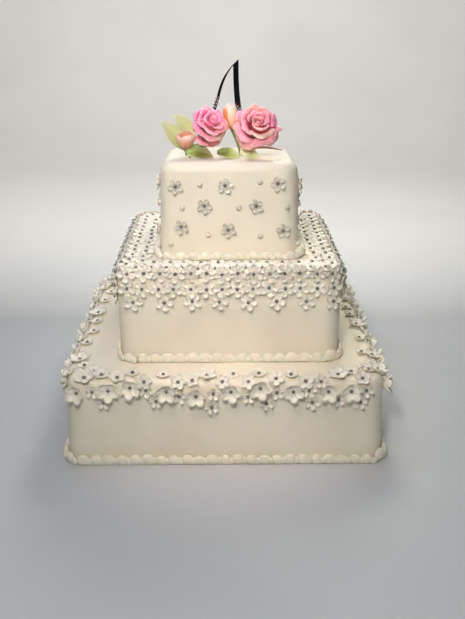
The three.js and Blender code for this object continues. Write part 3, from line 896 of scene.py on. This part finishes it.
# Petal colours from base to rim.
RIM = np.array(srgb("FCE9E6")[:3])
MAGENTA = shades("F676A4", "FC80AC", "FE8CB4", "FFB0CA")
ROSE = shades("F67E98", "FC8AA2", "FE9AAE", "FFBEC8")
SALMON = shades("F0827E", "F78E8A", "FBA09C", "FEC0BA")
CREAM = shades("E48E84", "ECA496", "F4C0AE", "F9DCCA")
TAN = shades("B0605A", "C88676", "DEAE98", "EED2B8")
BRICK = shades("B44850", "CC6260", "DC8478", "ECAE9C")

# Petal forms from base to rim, as shares of the flower's radius and height.
WRAP = [(0.08, 0.2), (0.2, 0.6), (0.24, 0.85), (0.27, 0.97), (0.34, 1.0)]
INNER = [(0.1, 0.15), (0.3, 0.6), (0.36, 0.83), (0.44, 0.93), (0.56, 0.92)]
OPEN_OUT = [(0.12, 0.1), (0.45, 0.6), (0.56, 0.77), (0.68, 0.83), (0.83, 0.78)]
WIDE = [(0.12, 0.05), (0.6, 0.48), (0.76, 0.66), (0.9, 0.69), (1.03, 0.58)]
DROOP = [(0.12, 0.02), (0.6, 0.2), (0.84, 0.36), (0.98, 0.42), (1.08, 0.32)]
HANG = [(0.12, 0.0), (0.55, 0.02), (0.8, 0.12), (0.95, 0.24), (1.04, 0.3)]
TONGUE = [(0.12, 0.04), (0.56, 0.34), (0.8, 0.56), (0.96, 0.54), (1.08, 0.32)]
CUPPED = [(0.12, 0.08), (0.55, 0.42), (0.76, 0.64), (0.88, 0.76), (0.98, 0.78)]
SIDEWAYS = [(0.12, 0.05), (0.6, 0.4), (0.75, 0.57), (0.85, 0.6), (0.93, 0.57)]

# Petals of each rose, form by form: angle, half spread, colours and how far the tip is drawn
# out, where it is.
PETALS_LEFT = [
    (WRAP, [(100, 1.15, MAGENTA), (220, 1.15, MAGENTA), (340, 1.15, MAGENTA)]),
    (INNER, [(40, 1.05, MAGENTA), (165, 1.1, MAGENTA), (285, 1.05, ROSE, 0.03)]),
    (OPEN_OUT, [(85, 0.85, MAGENTA), (20, 0.8, MAGENTA, 0.03), (310, 0.85, ROSE), (235, 0.9, ROSE),
                (165, 0.8, MAGENTA)]),
    (WIDE, [(120, 0.75, MAGENTA)]),
    (CUPPED, [(15, 0.6, MAGENTA)]),
    (WIDE, [(55, 0.7, MAGENTA), (345, 0.65, ROSE, 0.04), (295, 0.75, TAN, 0.04), (240, 0.75, ROSE),
            (185, 0.75, MAGENTA)]),
    (HANG, [(272, 0.55, BRICK), (308, 0.5, BRICK)]),
    (DROOP, [(226, 0.5, ROSE)]),
]
PETALS_RIGHT = [
    (WRAP, [(70, 1.15, ROSE), (190, 1.15, SALMON), (310, 1.15, ROSE)]),
    (INNER, [(130, 1.05, ROSE), (15, 1.05, ROSE), (255, 1.1, SALMON)]),
    (OPEN_OUT, [(140, 0.9, ROSE), (75, 0.9, SALMON), (15, 0.7, MAGENTA, 0.06), (280, 0.9, CREAM),
                (205, 0.6, ROSE)]),
    (WIDE, [(120, 0.75, ROSE), (65, 0.7, SALMON), (172, 0.65, SALMON)]),
    (SIDEWAYS, [(22, 0.5, MAGENTA, 0.16), (350, 0.42, ROSE, 0.22), (324, 0.42, MAGENTA, 0.18)]),
    (TONGUE, [(222, 0.55, SALMON, 0.04)]),
    (WIDE, [(242, 0.65, ROSE), (205, 0.6, ROSE), (290, 0.7, ROSE)]),
    (DROOP, [(318, 0.5, ROSE, 0.06)]),
]

# Rolled hearts: windings, radii, heights, colours and how far one is set aside.
HEARTS_LEFT = [
    (1.7, 0.03, 0.2, 0.5, 1.0, MAGENTA), (1.4, 0.05, 0.2, 0.3, 0.84, MAGENTA, (-0.6, 0.1)),
]
HEARTS_RIGHT = [(1.7, 0.03, 0.2, 0.5, 1.0, ROSE)]

PEACH = shades("BC6848", "EEA080", "F6B89C", "F2CCBE")
PEACH_PALE = shades("C87850", "F6B692", "FACDB4", "F8DCD2")
IVORY = shades("E8A078", "F6C8A8", "FAE0C8", "FBEADC")
ORANGE = shades("B8642C", "DC8038", "E89450", "F0B088")
RUSSET = shades("8A6A30", "A8683C", "B86C50", "D09880")

CLOSED = [(0.1, 0.0), (0.42, 0.22), (0.8, 0.52), (1.0, 0.84), (0.74, 1.0)]
POINTED = [(0.15, 0.0), (0.78, 0.28), (0.84, 0.55), (0.5, 0.88), (0.16, 1.02)]
FLARED = [(0.2, 0.0), (0.7, 0.08), (1.15, 0.3), (1.5, 0.56)]
SPREAD = [(0.15, 0.0), (0.85, 0.22), (1.05, 0.5), (0.95, 0.8), (0.8, 0.98)]

# Petals of each bud, as for the roses.
PETALS_BUD_LEFT = [
    (CLOSED, [(90, 1.2, PEACH), (210, 1.2, PEACH), (330, 1.2, PEACH), (225, 0.95, PEACH, 0.15),
              (312, 0.95, PEACH_PALE, 0.15), (90, 1.2, PEACH_PALE)]),
]
PETALS_BUD_MIDDLE = [
    (POINTED, [(0, 1.2, PEACH_PALE), (120, 1.2, IVORY), (240, 1.25, IVORY)]),
    (SPREAD, [(50, 0.7, IVORY, 0.1), (300, 0.75, ORANGE, 0.05), (0, 0.6, IVORY)]),
    (FLARED, [(75, 0.4, RUSSET, 0.2), (110, 0.35, RUSSET, 0.2), (300, 0.4, PEACH_PALE, 0.1)]),
]

# Flower heads: the point where the stem enters, how far they turn from the front and lift,
# radius and height.
ROSE_LEFT = ((-27, -22, 339), 0.63, 0.68, 21.5, 35)
ROSE_RIGHT = ((33, -24, 337), 0.21, 0.68, 25, 39)
BUD_LEFT = ((-42, -41, 325.5), -0.3, 1.3, 10.5, 19)
BUD_MIDDLE = ((9.5, -10, 344), -1.2, 1.38, 8.5, 28)

# And the whole flowers: head, ruffling, salt, hearts, petals and slot.
FLOWERS = {
    "rose_left": (ROSE_LEFT, 0.05, 3, HEARTS_LEFT, PETALS_LEFT, "pink_petal"),
    "rose_right": (ROSE_RIGHT, 0.05, 40, HEARTS_RIGHT, PETALS_RIGHT, "pink_petal"),
    "bud_left": (BUD_LEFT, 0.03, 80, [], PETALS_BUD_LEFT, "peach_petal"),
    "bud_middle": (BUD_MIDDLE, 0.03, 90, [], PETALS_BUD_MIDDLE, "peach_petal"),
}


def add_flower(name, head, ruffle, salt, hearts, rings, slot):
    flower = Flower(*head, ruffle, salt)
    for heart in hearts:
        flower.heart(*heart)
    for form, petals in rings:
        for petal in petals:
            flower.petal(form, *petal)
    flower.skin.piece(name, "petals", slot)


# ---------- stems, twig and leaves ----------


def top_height(y):
    """Height of the cake's top surface at a distance behind the middle."""
    return TOP.z + sink(TOP, np.array([0.0, y, TOP.height]))[2]


ROD_SIDES = 12
ROD_STEPS = 5  # between one given radius and the next
ROD_ROUGH = 0.06  # unevenness of its radius
FOOT_GAP = 1.2  # how far above the icing a stem's middle line ends
STEM_RADII = [1.6, 1.4, 1.4, 1.5, 1.8]  # from its foot up to its cup


def rod(points, radii):
    """A round rod along a smooth curve, its radius given at even steps."""
    steps = ROD_STEPS * (len(radii) - 1)
    shares = np.linspace(0, 1, steps + 1)
    line = through(points, shares)
    along = unit(np.gradient(line, axis=0))
    side = unit(np.cross(along, [0.3, 1.0, 0.2]))
    other = np.cross(along, side)
    size = eased(radii, shares)
    rings = []
    for step in range(steps + 1):
        for k, turn in enumerate(np.arange(ROD_SIDES) / ROD_SIDES * 2 * pi):
            arm = size[step] * (1 + ROD_ROUGH * wobble(step * ROD_SIDES + k, 90))
            way = side[step] * cos(turn) + other[step] * sin(turn)
            rings.append(line[step] + arm * way)
    return rings, ring_faces(steps + 1, ROD_SIDES)


def add_rod(name, points, radii, slot):
    skin = Skin()
    skin.add(*rod(points, radii))
    skin.piece(name, "fine", slot)


def add_stem(name, flower, foot, bend, cup):
    at, turn, lift = flower[:3]
    back = -flower_axes(turn, lift)[2]
    top = np.array(at) + back * GAP
    neck = top + back * cup
    ground = [foot[0], foot[1], top_height(foot[1]) + FOOT_GAP]
    radii = STEM_RADII + [cup, 1.2 * cup]
    add_rod(name, [ground, bend, neck, top], radii, "stem")


LEAF_GRID = 15, 29
LEAF_THICKNESS = 0.7
LEAF_RIM = 0.5  # thickness of its rim, as a share of that
LEAF_FOLD = 0.3
LEAF_EDGE = np.array(srgb("D9D9A6")[:3])

# Widths of a leaf along its middle, with a stalk and without one.
BLADE = [0.12, 0.12, 0.6, 0.95, 1, 0.75, 0.1]
SESSILE = [0.35, 0.8, 1, 0.98, 0.7, 0.1]


def add_leaf(name, spine, widths, half, face, wave, codes):
    """A leaf with a folded middle and rippled edges, lighter along the veins."""
    across, along = grid_shares(-1, *LEAF_GRID)
    line = through(spine, along[:, 0])
    forward = unit(np.gradient(line, axis=0))
    side = unit(np.cross(unit(np.array(face, float)), forward))
    normal = np.cross(forward, side)
    width = eased(widths, along[:, 0]) * half
    ripple = wave * np.sin(9 * along + 2 * across) * across**2
    lift = LEAF_FOLD * width[:, None] * np.abs(across) + ripple
    grid = (line[:, None] + side[:, None] * (across * width[:, None])[..., None]
            + normal[:, None] * lift[..., None])
    shade = through(shades(*codes), along)
    edge = np.clip(np.abs(across) * 1.1 - 0.35, 0, 1)[..., None]
    shade = shade * (1 - 0.3 * edge) + LEAF_EDGE * 0.3 * edge
    veins = (along - 0.35 * np.abs(across)) * 9
    skin = Skin()
    skin.add_sheet(grid, LEAF_THICKNESS, LEAF_RIM, shade, (veins, across * 2))
    skin.piece(name, "blade", "leaf")


# Stems: the flower, the foot on the cake, a bend on the way and the radius of the cup.
STEMS = {
    "stem_rose_left": (ROSE_LEFT, (-28, -9), (-30, -12, 324), 3),
    "stem_rose_right": (ROSE_RIGHT, (27, -5), (27.5, -7, 320), 3),
    "stem_bud_left": (BUD_LEFT, (-39, -35), (-40, -36.5, 319.5), 2.2),
    "stem_bud_middle": (BUD_MIDDLE, (19, -13), (16.5, -12, 325), 2.2),
}
TWIG = [(23, 0, top_height(0) + 2.6), (36, 1.5, 320.5), (52, 4, 320), (70, 8, 316.5)]
TWIG_RADII = [2.2, 2.3, 1.9, 1.5, 1.0, 0.5]

# Leaves: the line along the middle, widths, half width, the way the face looks, how much
# the edges ripple, and colours from base to tip.
LEAVES = {
    "leaf_back_low": (
        [(-44, -24, top_height(-24) + 2), (-47, -26, 327), (-58, -29, 341), (-71, -34, 357.5)],
        BLADE, 9, (0.3, -1, 0.4), 0.6, ("98A060", "BAC282", "D2DAA0", "E8ECCC")),
    "leaf_back_high": (
        [(-43, -14, top_height(-14) + 2), (-41, -14, 334), (-46, -16, 348), (-57, -20, 362)],
        BLADE, 9.5, (0.2, -1, 0.3), 0.7, ("D6D292", "E2E6AA", "D0DEA4", "E6ECC4")),
    "leaf_front_left": (
        [(-42.5, -43, 321.6), (-35, -43.5, 324.2), (-25, -44, 322.6), (-13, -46, 318.3)],
        SESSILE, 8.2, (0.1, -0.8, 0.6), 0.9, ("B6CE86", "94AC54", "6C7028", "948C42")),
    "leaf_front_middle": (
        [(-8, -42, 322.5), (0, -43, 322.5), (9, -45, 320.6), (17.5, -47, 318)],
        SESSILE, 6.5, (0.1, -0.75, 0.65), 0.8, ("667230", "788834", "ACB662", "D8DCA2")),
    "leaf_front_right": (
        [(18, -42, 322.5), (25, -44, 322.3), (32, -46, 320.3), (40, -49, 318.2)],
        SESSILE, 6.5, (0.1, -0.75, 0.65), 0.8, ("E6EABE", "DAE6B0", "CCDA9C", "EAEEC8")),
}


def add_spray():
    for name, flower in FLOWERS.items():
        add_flower(name, *flower)
    for name, stem in STEMS.items():
        add_stem(name, *stem)
    add_rod("twig", TWIG, TWIG_RADII, "twig")
    for name, leaf in LEAVES.items():
        add_leaf(name, *leaf)


# ---------- the metal arch ----------

ARCH_DEPTH = 3.0
ARCH_BACK = 4.0  # its middle plane stands this far behind the middle
ARCH_FACE = ARCH_BACK - ARCH_DEPTH / 2
ARCH_FOOT = top_height(ARCH_FACE) + GAP
ARCH_BEVEL = 0.35
STONE = 1.3  # radius of a stone

# The outline of both legs from the outer left foot: two handles and the end of each curve.
ARCH_START = (-30, 0)
ARCH_CURVES = [
    ((-26, 20), (-14, 46), (-8.4, 65.5)),
    ((-4.5, 82), (1, 94), (17, 107.5)),
    ((16.6, 84), (18.2, 66), (20.2, 54)),
    ((23, 36), (28, 16), (32, 0)),
    ((30, 0), (26, 0), (24, 0)),
    ((18, 22), (10.6, 52), (10.7, 100.2)),
    ((3.5, 92.5), (-2.6, 78), (-5.2, 64)),
    ((-9, 50), (-22, 20), (-25.5, 0)),
]
CURVE_STEPS = 20


def bezier(a, b, c, d):
    """Points along one cubic curve, without its last point."""
    a, b, c, d = (np.array(p, float) for p in (a, b, c, d))
    t = np.linspace(0, 1, CURVE_STEPS, endpoint=False)[:, None]
    return a * (1 - t)**3 + 3 * b * t * (1 - t)**2 + 3 * c * t**2 * (1 - t) + d * t**3


def arch_outline():
    start = ARCH_START
    line = []
    for first, second, end in ARCH_CURVES:
        line.append(bezier(start, first, second, end))
        start = end
    return np.concatenate(line + [np.array([start], float)])


def add_arch():
    """The arch, filled and bevelled from its outline, then stood up on the cake."""
    legs = arch_outline()
    curve = bpy.data.curves.new("metal_arch_outline", "CURVE")
    curve.dimensions = "2D"
    curve.fill_mode = "BOTH"
    curve.extrude = (ARCH_DEPTH / 2 - ARCH_BEVEL) * MM
    curve.bevel_depth = ARCH_BEVEL * MM
    curve.bevel_resolution = 2
    curve.offset = -ARCH_BEVEL * MM
    spline = curve.splines.new("POLY")
    spline.points.add(len(legs) - 1)
    flat = np.hstack([legs * MM, np.zeros((len(legs), 1)), np.ones((len(legs), 1))])
    spline.points.foreach_set("co", flat.ravel())
    spline.use_cyclic_u = True
    drawn = link("metal_arch_outline", curve)
    bpy.context.view_layer.update()
    evaluated = drawn.evaluated_get(bpy.context.evaluated_depsgraph_get())
    mesh = bpy.data.meshes.new_from_object(evaluated)
    bpy.data.objects.remove(drawn)
    co = np.array([vertex.co for vertex in mesh.vertices])
    stood = np.stack([co[:, 0], ARCH_BACK * MM - co[:, 2], co[:, 1] + ARCH_FOOT * MM], -1)
    mesh.vertices.foreach_set("co", stood.ravel())
    mesh.materials.clear()
    dress(mesh, "metal_arch", "polished", "polished_metal", smooth=False)


# Places of the stones on the arch's face, from its middle and its foot.
STONES = [
    (-5.6, 65), (-8.8, 64), (-7.4, 61.4), (-10.4, 60.4), (-8.6, 58.2), (-11.8, 57), (-10.2, 54.8),
    (-13.4, 53.6), (-11.8, 51.6), (-15, 50.2), (-13.4, 48.2), (-16.6, 46.8),
    (13.2, 56.6), (16.2, 54.6), (13.8, 53.2), (19, 52.2), (16.4, 51.2), (21.2, 49), (18.6, 48.2),
]


def add_stones():
    skin = Skin()
    points, faces = ball(STONE, 6, 4)
    for x, height in STONES:
        skin.add(points + [x, ARCH_FACE - 0.4 * STONE, ARCH_FOOT + height], faces)
    skin.piece("metal_arch", "stones", "clear_stone", smooth=False)


# ---------- the whole cake ----------


def build():
    for name in GRAINY:
        grainy_material(name)
    blossom_material()
    for name in ("pink_petal", "peach_petal", "leaf"):
        petal_material(name)
    add_floor()
    add_tier(BOTTOM, decorate_bottom)
    add_tier(MIDDLE, decorate_middle)
    add_tier(TOP, decorate_top)
    for border in BORDERS:
        add_border(*border)
    add_spray()
    add_arch()
    add_stones()


bpy.context.scene.view_settings.view_transform = "Standard"
add_camera()
add_lights()
build()
